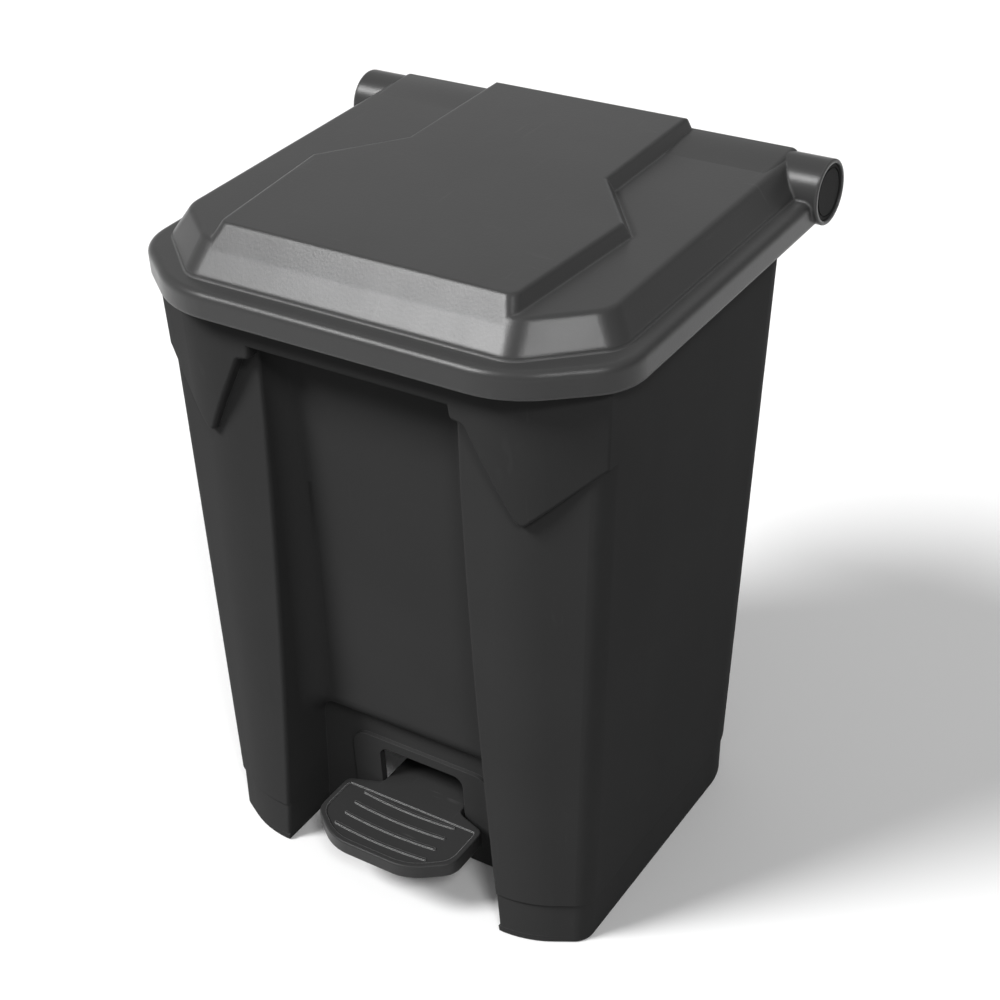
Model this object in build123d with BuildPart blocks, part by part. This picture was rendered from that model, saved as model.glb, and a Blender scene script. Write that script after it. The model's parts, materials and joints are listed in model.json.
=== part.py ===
"""Step-on litter pail: a one-piece moulded body, a hinged lid and the pedal linkage that lifts it.

Millimetres, +Z up. The origin is the bottom centre of the whole pail and the front faces -Y.
The pedal turns on a rod under the tub floor, its rear end lifts a push rod that runs up a
spine on the rear wall, and the push rod turns a crank on the lid, in front of the hinge rod.
"""

import os
from math import asin, atan2, cos, degrees, radians, sin, sqrt

from build123d import *

os.makedirs("parts", exist_ok=True)

# ---------------------------------------------------------------- driving dimensions
overall_width = 421.0        # across the closed ends of the hinge barrel
overall_depth = 391.0        # pedal nose to the rear of the hinge barrel
overall_height = 552.0       # floor to the lid's raised panel
front_width = 281.6          # straight front edge of the lid's rim
wall = 3.0                   # moulded wall of the body and the lid
overlap = 1.0                # how far shapes that join run into each other
reach = 500.0                # length of cuts that run right through

# lid, each level set in from the one below it
nose_overhang = 20.9         # pedal nose in front of the rim
rim_end_inset = 3.9          # rim sides, in from the barrel's ends
rim_bevel = 50.4             # how far back the rim's cut corners run
rim_skirt = 20.0
rim_front_radius = 85.0      # rounding of the rim's front corners
rim_side_radius = 44.0       # and of its corners at the sides
rim_edge_radius = 6.0
crown_front_inset = 17.6
crown_corner_inset = 5.1
crown_side_inset = 14.2
crown_bevel = 48.7
crown_riser = 2.5            # upright foot of the crown
crown_rise = 22.6            # rim to deck
crown_front_radius = 26.0
crown_side_radius = 24.0
deck_front_inset = 19.0
deck_corner_inset = 4.0
deck_side_inset = 13.0
deck_bevel = 38.7
panel_rise = 10.8            # deck to raised panel
panel_front_inset = 9.2
panel_corner_inset = 8.2
panel_side_inset = 45.4
panel_tab_inset = 47.6       # the panel steps in to a tab over the hinge
panel_wide_ahead = 175.1     # where the step starts, ahead of the hinge
panel_tab_ahead = 116.0      # where it ends
panel_flare = 5.5            # how far the panel's side walls lean out
panel_corner_flare = 0.9     # share of that lean at the front corners
panel_rear_inset = 13.0      # rear edge of the tab, in from the back of the barrel
panel_edge_radius = 2.5
deck_edge_radius = 5.0
crown_edge_radius = 1.4
barrel_edge_radius = 1.2
panel_front_radius = 8.0
panel_step_radius = 6.0
slope_inset = 4.0            # level inset that keeps the wall on the crown's slope
deck_inset = 1.5

# hinge
hinge_drop = 0.6             # hinge axis under the rim's top
barrel_radius = 25.0
barrel_end = 11.5            # the barrel is an open trough between closed ends this long
barrel_bulkhead = 3.0
barrel_mouth = 8.0           # its mouth runs this far behind the axis
barrel_mouth_slope = 0.5
barrel_lip = 0.6             # webs run this far into the barrel's wall
cap_thickness = 7.2
cap_clearance = 0.1
cap_edge_radius = 0.8
cap_groove_width = 1.2
cap_groove_depth = 0.8
hinge_rod_radius = 3.0
hinge_rod_spare = 8.0
rod_chamfer = 0.6
retainer_width = 4.0
retainer_radius = 7.0
retainer_gap = 0.4
ear_inset = 75.0             # hinge ears, in from the barrel's closed ends
ear_width = 20.0
ear_boss_radius = 9.0
ear_root = 36.0              # how far an ear runs down the rear wall
ear_upper_angle = 135.0
ear_lower_angle = 258.0
knuckle_width = 4.0
knuckle_gap = 1.0
knuckle_reach = 46.0
knuckle_depth = 4.0
knuckle_foot = 21.5
running_clearance = 0.06
lid_opening = 80.0           # degrees

# body casing, under the lid's rim
lid_headroom = 10.6          # rim's top over the body's top edge
ground_gap = 1.0             # body edge above the floor: the rubber pads carry it
foot_height = 39.0           # ledge between the casing and its foot
foot_step = 1.6              # how far the foot stands in at the ledge
foot_draft = 0.6             # and at the floor
casing_side_inset = 12.0
casing_front_inset = 26.6
casing_corner_inset = 7.8
casing_bevel = 23.4
casing_base_bevel = 24.0
side_draft = 22.6            # how far each face leans in by the floor
corner_draft = 4.4
front_draft = 23.5
rear_setback = 22.9          # rear wall ahead of the hinge
rear_draft = 23.6
rear_radius_top = 34.0
rear_radius_base = 60.0
front_edge_radius = 90.0     # soft upright edges beside the casing's front
side_edge_radius = 18.0      # and at its sides
floor_height = 111.0         # inside floor of the tub
skirt_clearance = 2.2
flange_thickness = 3.0
flange_setback = 62.5        # the flange ends ahead of the hinge
seal_inset = 1.0
seal_width = 6.0
seal_gap = 0.3

# raised yoke that frames the top of the front recess and points down on each side
yoke_proud = 12.4
yoke_spread = 1.0
yoke_bevel_run = 32.4
yoke_bevel_width = 57.8
yoke_overhang = 8.0          # drawn past the casing's sides, then trimmed to them
yoke_step_drop = 12.4        # where its edge turns outwards, under the recess top
yoke_step_rise = 2.0
yoke_shoulder_width = 12.0
yoke_tip_drop = 88.4
yoke_outer_rise = 60.0
yoke_step_radius = 4.0
yoke_tip_radius = 6.0
yoke_edge_radius = 3.0
yoke_root = 58.0             # depth of the block behind the front face
yoke_trim_drop = 208.0

# front recess
recess_top_drop = 33.6       # under the body's top edge
recess_side_width = 48.0     # front face left beside it
recess_spread = 21.0         # how much wider each side is at the floor
recess_curve_spread = 6.2
recess_curve_height = 215.0
recess_straight = 74.4       # straight upper part of its sides
recess_depth = 20.0
recess_radius = 18.0
recess_edge_radius = 3.0
nose_radius = 20.0           # rounding under the recessed panel
nose_rise = 29.0             # its start above the tub floor
toe_depth = 14.0             # wall behind the pedal, set back from the recessed panel
recess_sink = 10.0           # cuts run below the floor

# pedal opening
opening_half = 41.0
opening_top = 90.0
opening_radius = 9.0
surround_inset = 38.0        # in from the recess sides at the floor
surround_top = 99.0
surround_bottom = 24.0
surround_radius = 16.0
surround_depth = 3.5

# rubber pads on the base
pad_radius = 11.0
pad_height = 4.0
pad_fit = 0.1
pad_chamfer = 0.8
pad_setback = 33.5           # front pads, behind the base's front
rear_pad_inset = 40.0        # rear pads, in from the base's side and rear
sole_thickness = 5.0
sole_inset = 0.8
sole_depth = 64.0
sole_width = 62.0

# screws
screw_radius = 1.6
screw_fit = 0.05
screw_head_radius = 3.4
screw_head_height = 2.0
screw_head_rounding = 1.2
screw_end_gap = 1.0
drive_radius = 1.4
drive_depth = 1.2
boss_radius = 5.0
boss_height = 10.0

# spine that houses the push rod
spine_half = 25.0
spine_wall = 6.0
spine_depth = 19.0
spine_drop = 22.0            # top of the spine under the body's top edge
cover_thickness = 2.5
cover_foot = 5.0
cover_corner_radius = 4.0
cover_edge_radius = 1.0
cover_screw_length = 11.0
cover_screw_low = 40.0
cover_screw_drop = 36.0
rod_window_half = 14.0
rod_window_drop = 14.0       # starts under the top of the spine
rod_window_depth = 10.0
lever_slot_half = 18.0
lever_slot_low = 14.0
lever_slot_high = 94.0
lever_slot_depth = 15.0
guide_drop = 186.0           # guide under the top of the spine
guide_thickness = 12.0
guide_fit = 0.2
guide_gap = 1.0
guide_slot_play = 0.5

# crank on the lid
crank_radius = 20.0
crank_pin_radius = 2.5
crank_pin_fit = 0.03
crank_pin_head = 1.5
crank_pin_head_radius = 4.1
lug_end_radius = 5.0
lug_gap_half = 8.2
lug_thickness = 3.0
lug_front_run = 13.0
lug_rear_run = 16.0
lug_front_angle = 224.0
lug_rear_angle = 14.0
crank_plate_ahead = 33.5     # middle of the bracket's plate, ahead of the hinge
crank_plate_width = 54.0
crank_plate_depth = 34.0
crank_plate_radius = 4.0
crank_plate_thickness = 3.0
crank_screw_x = 20.0
crank_screw_y = 9.0
crank_seat_drop = 8.0
crank_screw_length = 10.0

# push rod
push_rod_radius = 3.0
stem_radius = 6.0
stem_length = 26.0
socket_start = 10.0
foot_half = 12.0
foot_radius = 7.5
foot_pin_radius = 3.0
foot_pin_fit = 0.02
foot_pin_spare = 2.4
foot_clip_rim = 2.0
foot_clip_gap = 0.1
foot_clip_width = 1.4
head_wall = 3.0
head_gap = 0.7
head_corner_radius = 5.0
slot_play = 0.35
coupling_share = 0.022       # how far the coupled swing strays, as a share of the crank

# pedal
pivot_y = -30.0
pivot_height = 46.0
axle_radius = 4.0
axle_spare = 5.0
clip_radius = 7.5
clip_width = 1.5
clip_gap = 0.2
tread_top = 56.0
tread_skin = 3.0
tread_deck = 4.0
tread_lip = 12.0
tread_edge_radius = 1.5
tread_nose_radius = 46.0
tread_side_radius = 18.0
tread_corner_radius = 7.0
tread_inset = 1.0            # tread sides, in from the surround
tread_nose_half = 36.5
tread_nose_run = 22.7
tread_length = 65.0
neck_clearance = 2.7
neck_run = 9.7
neck_ahead = 32.0            # the neck ends ahead of the pivot
tray_inset = 4.5
tray_depth = 1.2
rib_count = 4
rib_pitch = 13.7
rib_inset = 23.5
rib_first_inset = 7.5
rib_width = 2.2
rib_bow = 2.5
tread_screw_front = 43.5     # behind the pedal nose
tread_screw_rear = 13.0      # behind the neck's shoulder
lever_half = 15.0
lever_thickness = 2.5
lever_top = 46.0
lever_flange = 8.0
lever_nose_inset = 23.5
lever_rise_ahead = 50.0      # the lever rises over the axle
lever_crest_ahead = 16.0
lever_crest = 9.0
lever_waist = 14.0
lever_belly = 10.0
lever_tail_rise = 2.0
lever_tail_run = 3.0
lever_tail_ahead = 8.0
lever_tail_drop = 7.0
lever_opening = 10.0
lever_clearing = 22.0
lever_clearing_height = 30.0
bush_radius = 6.0
bush_fit = 0.03
bush_collar_radius = 8.0
bush_gap = 0.3
bracket_inner = 40.0
bracket_width = 6.0
bracket_foot = 4.0
bracket_foot_width = 20.0
bracket_foot_radius = 2.0
bracket_half_length = 20.0
bracket_shoulder = 6.0
bracket_eye_radius = 9.0
bracket_screw_x = 52.0
bracket_screw_y = 12.0

# ---------------------------------------------------------------- derived places
barrel_half = overall_width / 2
barrel_open_half = barrel_half - barrel_end
hinge_y = overall_depth / 2 - barrel_radius
pedal_nose = -overall_depth / 2
ear_inner = barrel_open_half - ear_inset
ear_far = ear_inner + ear_width

panel_height = overall_height
deck_height = panel_height - panel_rise
rim_top = deck_height - crown_rise
body_height = rim_top - lid_headroom
hinge_height = rim_top - hinge_drop

rim_side_half = barrel_half - rim_end_inset
rim_front_half = front_width / 2
rim_front = pedal_nose + nose_overhang
rim_corner = rim_front + rim_bevel
crown_side_half = rim_side_half - crown_side_inset
crown_front_half = rim_front_half - crown_corner_inset
crown_front = rim_front + crown_front_inset
crown_corner = crown_front + crown_bevel
deck_side_half = crown_side_half - deck_side_inset
deck_front_half = crown_front_half - deck_corner_inset
deck_front = crown_front + deck_front_inset
deck_corner = deck_front + deck_bevel
panel_front_half = deck_front_half - panel_corner_inset
panel_wide_half = deck_side_half - panel_side_inset
panel_tab_half = panel_wide_half - panel_tab_inset
panel_front = deck_front + panel_front_inset
panel_wide_at = hinge_y - panel_wide_ahead
panel_tab_at = hinge_y - panel_tab_ahead
panel_rear = overall_depth / 2 - panel_rear_inset - barrel_radius / 6

top_side_half = rim_side_half - casing_side_inset
top_front_half = rim_front_half - casing_corner_inset
top_front = rim_front + casing_front_inset
top_corner = top_front + casing_bevel
top_rear = hinge_y - rear_setback
base_side_half = top_side_half - side_draft
base_front_half = top_front_half - corner_draft
base_front = top_front - front_draft
base_corner = base_front + casing_base_bevel
base_rear = top_rear - rear_draft
rear_slope = (top_rear - base_rear) / body_height
floor_under = floor_height - wall
flange_end = hinge_y - flange_setback

recess_top = body_height - recess_top_drop
recess_half = top_front_half - recess_side_width
recess_foot_half = recess_half + recess_spread
recess_curve_half = recess_half + recess_curve_spread
recess_panel = top_front + recess_depth
nose_start = floor_height + nose_rise
cross_wall = recess_panel + toe_depth
surround_half = recess_foot_half - surround_inset

yoke_front = top_front - yoke_proud
yoke_front_half = top_front_half + yoke_spread
yoke_far = top_side_half + yoke_overhang
yoke_run_back = yoke_bevel_run / yoke_bevel_width * (yoke_far - yoke_front_half)
yoke_inner_step = recess_top - yoke_step_drop
yoke_tip = recess_top - yoke_tip_drop
yoke_shoulder = recess_half + yoke_shoulder_width

spine_top = body_height - spine_drop
rod_window_low = spine_top - rod_window_drop
guide_height = spine_top - guide_drop
cover_screw_high = spine_top - cover_screw_drop
cover_screw_x = spine_half - spine_wall / 2
cover_screw_heights = [cover_screw_low, (cover_screw_low + cover_screw_high) / 2, cover_screw_high]
cover_screw_places = [(side * cover_screw_x, height) for side in (-1, 1) for height in cover_screw_heights]

crank_start = radians(lid_opening / 2)
crank_pin_y = hinge_y - crank_radius * cos(crank_start)
crank_pin_z = hinge_height - crank_radius * sin(crank_start)
crank_lift = 2 * crank_radius * sin(crank_start)
crank_swing = crank_radius * (1 - cos(crank_start))
crank_plate_y = hinge_y - crank_plate_ahead
rod_top_y = crank_pin_y - crank_swing / 2
foot_pin_z = pivot_height - crank_lift / 2
rod_foot_y = rod_top_y - rear_slope * (crank_pin_z - foot_pin_z)
rod_drift = rear_slope * crank_lift
lever_reach = rod_foot_y - pivot_y
pedal_travel = degrees(2 * asin(crank_lift / 2 / lever_reach))
pedal_sag = lever_reach * (1 - cos(radians(pedal_travel / 2)))

tread_half = surround_half - tread_inset
tread_shoulder = pedal_nose + tread_nose_run
tread_back = pedal_nose + tread_length
neck_half = opening_half - neck_clearance
neck_shoulder = tread_back + neck_run
neck_end = pivot_y - neck_ahead
rib_half = tread_half - rib_inset
rib_first = tread_back - rib_first_inset
tread_under = tread_top - tread_deck
tread_low = tread_top - tread_lip
lever_front = pedal_nose + lever_nose_inset
lever_rise_start = pivot_y - lever_rise_ahead
lever_tail_end = rod_foot_y + lever_tail_run
lever_tail_top = foot_pin_z + foot_radius
lever_tail_low = foot_pin_z - lever_tail_drop
lever_belly_low = pivot_height - lever_belly
lever_crest_top = pivot_height + lever_crest
bracket_top = floor_under - boss_height

pad_front_x = (recess_foot_half + base_side_half) / 2
pad_rear_x = base_side_half - rear_pad_inset
pad_places = [
    (side * across, along)
    for across, along in ((pad_front_x, base_front + pad_setback), (pad_rear_x, base_rear - rear_pad_inset))
    for side in (1, -1)
]
bracket_places = [
    (side * bracket_screw_x, pivot_y + run) for side in (1, -1) for run in (-bracket_screw_y, bracket_screw_y)
]
tread_screw_places = [(0.0, pedal_nose + tread_screw_front), (0.0, neck_shoulder + tread_screw_rear)]
crank_screw_places = [
    (across, crank_plate_y + run)
    for across in (-crank_screw_x, crank_screw_x)
    for run in (-crank_screw_y, crank_screw_y)
]
push_rod_offset = rod_top_y - base_rear - rear_slope * crank_pin_z


# ---------------------------------------------------------------- shared shapes
def rear_wall_y(height):
    """Outer face of the leaning rear wall at a height."""
    return base_rear + rear_slope * height


def between(low, high, height):
    """A casing size at a height, from its values at the floor and at the body's top edge."""
    return low + (high - low) * height / body_height


def on_circle(centre_y, centre_z, radius, angle):
    """A point of a circle in the side view, at an angle from the rear."""
    return (centre_y + radius * cos(radians(angle)), centre_z + radius * sin(radians(angle)))


def level_plan(height, front, front_half, corner, side_half, rear):
    """Plan outline with two cut front corners and square rear corners."""
    with BuildSketch(Plane.XY.offset(height)) as plan:
        with BuildLine():
            Polyline(
                (-front_half, front),
                (front_half, front),
                (side_half, corner),
                (side_half, rear),
                (-side_half, rear),
                (-side_half, corner),
                close=True,
            )
        make_face()
    return plan.sketch


def corners_at(plan, places):
    """The corners of a plan that still lie at the given places."""
    near = [place.center() for place in places]
    return plan.vertices().filter_by(
        lambda corner: any((corner.center() - place).length < screw_fit for place in near)
    )


def softened_plan(outline, height, inset, front_radius, side_radius, rear_radius=0.0):
    """A plan outline set in all round, its corners rounded at the front, sides and rear."""
    with BuildSketch(Plane.XY.offset(height)) as plan:
        add(outline)
        if inset:
            offset(amount=-inset, kind=Kind.INTERSECTION)
        levels = plan.vertices().group_by(Axis.Y)
        if rear_radius:
            fillet(levels[-1], rear_radius)
        fillet(corners_at(plan, levels[0]), front_radius)
        fillet(corners_at(plan, levels[1]), side_radius)
    return plan.sketch


def casing_plan(height, inset=0.0):
    """Plan outline of the body casing at a height."""
    outline = level_plan(
        0.0,
        between(base_front, top_front, height),
        between(base_front_half, top_front_half, height),
        between(base_corner, top_corner, height),
        between(base_side_half, top_side_half, height),
        rear_wall_y(height),
    )
    rear_radius = between(rear_radius_base, rear_radius_top, height)
    return softened_plan(
        outline, height, inset, front_edge_radius - inset, side_edge_radius - inset, rear_radius - inset
    )


def rim_outline(height, inset=0.0):
    """Outline of the lid's rim with rounded front corners."""
    outline = level_plan(0.0, rim_front, rim_front_half, rim_corner, rim_side_half, hinge_y)
    return softened_plan(outline, height, inset, rim_front_radius - inset, rim_side_radius - inset)


def crown_outline(height, inset=0.0):
    """Outline of the crown's foot."""
    outline = level_plan(0.0, crown_front, crown_front_half, crown_corner, crown_side_half, hinge_y)
    return softened_plan(outline, height, inset, crown_front_radius, crown_side_radius)


def deck_outline(height, inset=0.0):
    """Outline of the crown's flat top."""
    outline = level_plan(0.0, deck_front, deck_front_half, deck_corner, deck_side_half, hinge_y)
    return softened_plan(outline, height, inset, crown_front_radius, crown_side_radius)


def flange_plan(height, inset):
    """The rim's outline, set in, and ended ahead of the rear corners of the body."""
    with BuildSketch(Plane.XY.offset(height)) as plan:
        add(rim_outline(0.0, inset))
        with Locations((0.0, flange_end - reach)):
            Rectangle(2 * reach, 2 * reach, mode=Mode.INTERSECT)
    return plan.sketch


def panel_plan(height, front, spread, inset=0.0):
    """Plan of the raised panel, which steps in to a narrower tab over the hinge."""
    with BuildSketch(Plane.XY.offset(height)) as plan:
        with BuildLine():
            right = [
                (panel_front_half + spread * panel_corner_flare, front),
                (panel_wide_half + spread, panel_wide_at + spread / 2),
                (panel_tab_half + spread, panel_tab_at + spread / 2),
                (panel_tab_half + spread, panel_rear),
            ]
            left = [(-across, along) for across, along in reversed(right)]
            Polyline(*right, *left, close=True)
        make_face()
        if inset:
            offset(amount=-inset, kind=Kind.INTERSECTION)
        levels = plan.vertices().group_by(Axis.Y)
        fillet(levels[0], panel_front_radius)
        fillet(levels[1] + levels[2], panel_step_radius)
    return plan.sketch


def disc(plane, centre, radius, hole=0.0):
    """A round face, with an optional hole, on a plane."""
    with BuildSketch(plane) as face:
        with Locations(centre):
            Circle(radius)
            if hole:
                Circle(hole, mode=Mode.SUBTRACT)
    return face.sketch


def recess_cutter(grow=0.0):
    """The space of the front recess, grown by a wall where it shapes the inside."""
    foot = recess_foot_half + grow
    curve = recess_curve_half + grow
    side = recess_half + grow
    top = recess_top + grow
    straight_from = recess_top - recess_straight
    with BuildPart() as cutter:
        with BuildSketch(Plane.XZ.offset(-cross_wall - grow - overlap)):
            with BuildLine():
                Polyline((foot, -recess_sink), (-foot, -recess_sink))
                ThreePointArc((-foot, -recess_sink), (-curve, recess_curve_height), (-side, straight_from))
                Polyline((-side, straight_from), (-side, top), (side, top), (side, straight_from))
                ThreePointArc((side, straight_from), (curve, recess_curve_height), (foot, -recess_sink))
            make_face()
        extrude(amount=reach)
        with BuildSketch(Plane.YZ):
            back = recess_panel + grow
            wall_back = cross_wall + grow
            radius = nose_radius - grow
            drop = sqrt(radius**2 - (radius - (wall_back - back)) ** 2)
            with BuildLine():
                Polyline((-reach, -recess_sink), (wall_back, -recess_sink), (wall_back, nose_start - drop))
                RadiusArc((wall_back, nose_start - drop), (back, nose_start), radius)
                Polyline(
                    (back, nose_start),
                    (back, top + grow + overlap),
                    (-reach, top + grow + overlap),
                    (-reach, -recess_sink),
                )
            make_face()
        extrude(amount=reach, both=True, mode=Mode.INTERSECT)
        upright = cutter.edges().filter_by(lambda edge: abs(edge.center().Y - back) < screw_fit)
        fillet(upright.filter_by(lambda edge: abs(edge.center().X) > recess_half / 2), recess_radius)
    return cutter.part


def on_yoke_face(edge):
    """Whether an edge runs along the lower rim of the yoke's front and chamfers."""
    middle = edge.center()
    front = yoke_front + max(0.0, abs(middle.X) - yoke_front_half) * yoke_bevel_run / yoke_bevel_width
    low = middle.Z < body_height - overlap
    return low and abs(middle.Y - front) < wall + overlap and abs(edge.tangent_at(0.5).Z) < 0.999


def on_recess_mouth(edge):
    """Whether an edge is one of the two upright edges where the recess cuts the casing's front."""
    middle = edge.center()
    front = between(base_front, top_front, middle.Z)
    across = abs(middle.X)
    beside = recess_half - overlap < across < recess_foot_half + overlap
    upright = abs(edge.tangent_at(0.5).Z) > 0.5
    return beside and upright and abs(middle.Y - front) < foot_step + overlap


def yoke_block(inset=0.0):
    """The raised yoke above and beside the recess, running down to a point on each chamfer."""
    tip_edge = yoke_front_half + yoke_spread
    with BuildPart() as block:
        outline = level_plan(
            0.0, yoke_front, yoke_front_half, yoke_front + yoke_run_back, yoke_far, recess_panel + yoke_root
        )
        with BuildSketch(Plane.XY.offset(yoke_tip - nose_radius)) as plan:
            add(outline)
            if inset:
                offset(amount=-inset, kind=Kind.INTERSECTION)
            fillet(plan.vertices().group_by(Axis.Y)[0], front_edge_radius)
        extrude(amount=body_height - yoke_tip + nose_radius)
        with BuildSketch(Plane.XZ) as bib:
            for side in (1, -1):
                with BuildLine():
                    Polyline(
                        (0.0, body_height),
                        (side * yoke_far, body_height),
                        (side * yoke_far, yoke_tip + yoke_outer_rise),
                        (side * tip_edge, yoke_tip),
                        (side * yoke_shoulder, yoke_inner_step),
                        (side * (recess_half + overlap), yoke_inner_step + yoke_step_rise),
                        (side * recess_half, recess_top),
                        (0.0, recess_top),
                        close=True,
                    )
                make_face()
            if inset:
                offset(amount=-inset, kind=Kind.INTERSECTION)
            lower = bib.vertices().filter_by(lambda corner: corner.Y < recess_top - 2 * overlap)
            tips = lower.group_by(Axis.Y)[0]
            fillet(tips, yoke_tip_radius)
            steps = bib.vertices().filter_by(lambda corner: abs(corner.Y - yoke_inner_step) < 2 * wall)
            fillet(steps, yoke_step_radius)
        extrude(amount=reach, mode=Mode.INTERSECT)
        trim_low = body_height - yoke_trim_drop
        for height in (trim_low, body_height):
            with BuildSketch(Plane.XY.offset(height)):
                Rectangle(2 * (between(base_side_half, top_side_half, height) - inset), reach)
        loft(mode=Mode.INTERSECT)
        if not inset:
            lip = block.edges().filter_by(on_yoke_face)
            fillet(lip, yoke_edge_radius)
    return block.part


def pan_screws(plane, places, length):
    """Pan head screws whose heads sit on a plane and whose shanks run back from it."""
    with BuildPart() as screws:
        with BuildSketch(plane):
            with Locations(*places):
                Circle(screw_head_radius)
        extrude(amount=screw_head_height)
        rims = screws.edges().filter_by(GeomType.CIRCLE)
        tops = rims.filter_by(lambda edge: plane.to_local_coords(edge.center()).Z > screw_head_height / 2)
        fillet(tops, screw_head_rounding)
        with BuildSketch(plane):
            with Locations(*places):
                Circle(screw_radius)
        extrude(amount=-length)
        with BuildSketch(plane.offset(screw_head_height)):
            with Locations(*places):
                RegularPolygon(drive_radius, 6)
        extrude(amount=-drive_depth, mode=Mode.SUBTRACT)
    return screws.part


def facing_down(height):
    """A plane that faces down at a height, for screws driven up; its Y runs to the front."""
    return Plane(origin=(0.0, 0.0, height), x_dir=(1.0, 0.0, 0.0), z_dir=(0.0, 0.0, -1.0))


def turned_over(places):
    """Places on the ground plan as they lie on a plane that faces down."""
    return [(across, -along) for across, along in places]


def keep(part, name):
    """Name a finished piece and write its file."""
    part.label = name
    export_step(part, f"parts/{name}.step")


hinge_centre = (hinge_y, hinge_height)
pivot_centre = (pivot_y, pivot_height)
crank_pin_centre = (crank_pin_y, crank_pin_z)
foot_pin_centre = (rod_foot_y, foot_pin_z)

# ---------------------------------------------------------------- body
with BuildPart() as tub_space:
    loft(sections=[casing_plan(floor_height, wall), casing_plan(body_height + screw_fit, wall)], ruled=True)
    add(yoke_block(wall))
    add(recess_cutter(wall), mode=Mode.SUBTRACT)

with BuildPart() as base_space:
    loft(sections=[casing_plan(-overlap, wall + foot_step), casing_plan(floor_under, wall)], ruled=True)
    add(recess_cutter(wall), mode=Mode.SUBTRACT)

with BuildPart() as sole_plates:
    extrude(casing_plan(ground_gap, sole_inset), amount=sole_thickness)
    add(recess_cutter(), mode=Mode.SUBTRACT)
    with BuildSketch(Plane.XY):
        with Locations((0.0, base_front)):
            Rectangle(reach, 2 * sole_depth)
        with Locations((-base_side_half, base_rear), (base_side_half, base_rear)):
            Rectangle(2 * sole_width, 2 * sole_depth)
    extrude(amount=foot_height, mode=Mode.INTERSECT)

rear_face = Plane(origin=(0.0, base_rear, 0.0), x_dir=(-1.0, 0.0, 0.0), z_dir=(0.0, 1.0, -rear_slope))

with BuildPart() as casing:
    loft(sections=[casing_plan(foot_height), casing_plan(body_height)], ruled=True)
    add(recess_cutter(), mode=Mode.SUBTRACT)
    fillet(casing.edges().filter_by(on_recess_mouth), recess_edge_radius)

with BuildPart() as foot:
    loft(sections=[casing_plan(ground_gap, foot_draft), casing_plan(foot_height, foot_step)], ruled=True)
    add(recess_cutter(), mode=Mode.SUBTRACT)
    fillet(foot.edges().filter_by(on_recess_mouth), recess_edge_radius)

with BuildPart() as body_shell:
    # casing, its stepped foot and the yoke
    add(casing.part)
    add(foot.part)
    add(yoke_block())
    # flange round the top edge, kept inside the lid skirt
    extrude(flange_plan(body_height - flange_thickness, wall + skirt_clearance), amount=flange_thickness)
    add(recess_cutter(), mode=Mode.SUBTRACT)
    add(tub_space.part, mode=Mode.SUBTRACT)
    add(base_space.part, mode=Mode.SUBTRACT)
    add(sole_plates.part)
    # surround and mouth of the pedal opening, open at the floor
    with BuildSketch(Plane.XZ.offset(-cross_wall - wall / 2)):
        with Locations((0.0, (surround_top + surround_bottom) / 2)):
            RectangleRounded(2 * surround_half, surround_top - surround_bottom, surround_radius)
    extrude(amount=surround_depth + wall / 2)
    with BuildSketch(Plane.XZ.offset(-cross_wall - 3 * wall)):
        with Locations((0.0, opening_top / 2 - nose_radius)):
            RectangleRounded(2 * opening_half, opening_top + 2 * nose_radius, opening_radius)
    extrude(amount=6 * wall, mode=Mode.SUBTRACT)
    # pockets for the rubber pads
    with BuildSketch(Plane.XY.offset(ground_gap)):
        with Locations(*pad_places):
            Circle(pad_radius + pad_fit)
    extrude(amount=pad_height - ground_gap, mode=Mode.SUBTRACT)
    # screw bosses under the tub floor
    with BuildSketch(Plane.XY.offset(bracket_top)):
        with Locations(*bracket_places):
            Circle(boss_radius)
            Circle(screw_radius + screw_fit, mode=Mode.SUBTRACT)
    extrude(amount=boss_height)
    # spine on the rear wall
    for side in (-1, 1):
        with BuildSketch(Plane.YZ.offset(side * (spine_half - spine_wall / 2))):
            with BuildLine():
                Polyline(
                    (rear_wall_y(ground_gap) - overlap, ground_gap),
                    (rear_wall_y(ground_gap) + spine_depth, ground_gap),
                    (rear_wall_y(spine_top) + spine_depth, spine_top),
                    (rear_wall_y(spine_top) - overlap, spine_top),
                    close=True,
                )
            make_face()
        extrude(amount=spine_wall / 2, both=True)
    with BuildSketch(rear_face.offset(spine_depth + overlap)):
        with Locations(*cover_screw_places):
            Circle(screw_radius + screw_fit)
    extrude(amount=-cover_screw_length - overlap, mode=Mode.SUBTRACT)
    # slot that the pedal lever passes, and window for the push rod's head
    with BuildSketch(Plane.YZ):
        with Locations((rear_wall_y(pivot_height), (lever_slot_low + lever_slot_high) / 2)):
            Rectangle(2 * lever_slot_depth, lever_slot_high - lever_slot_low)
    extrude(amount=lever_slot_half, both=True, mode=Mode.SUBTRACT)
    with BuildSketch(Plane.YZ):
        with Locations((rear_wall_y(body_height), body_height)):
            Rectangle(2 * rod_window_depth, 2 * (body_height - rod_window_low))
    extrude(amount=rod_window_half, both=True, mode=Mode.SUBTRACT)
    # hinge ears
    for side in (-1, 1):
        with BuildSketch(Plane.YZ.offset(side * (ear_inner + ear_width / 2))):
            with BuildLine():
                Polyline(
                    (rear_wall_y(body_height) - wall / 2, body_height),
                    on_circle(hinge_y, hinge_height, ear_boss_radius, ear_upper_angle),
                    on_circle(hinge_y, hinge_height, ear_boss_radius, ear_lower_angle),
                    (rear_wall_y(body_height - ear_root) - wall / 2, body_height - ear_root),
                    close=True,
                )
            make_face()
            with Locations(hinge_centre):
                Circle(ear_boss_radius)
                Circle(hinge_rod_radius + screw_fit, mode=Mode.SUBTRACT)
        extrude(amount=ear_width / 2, both=True)
keep(body_shell.part, "body_shell")

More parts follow.
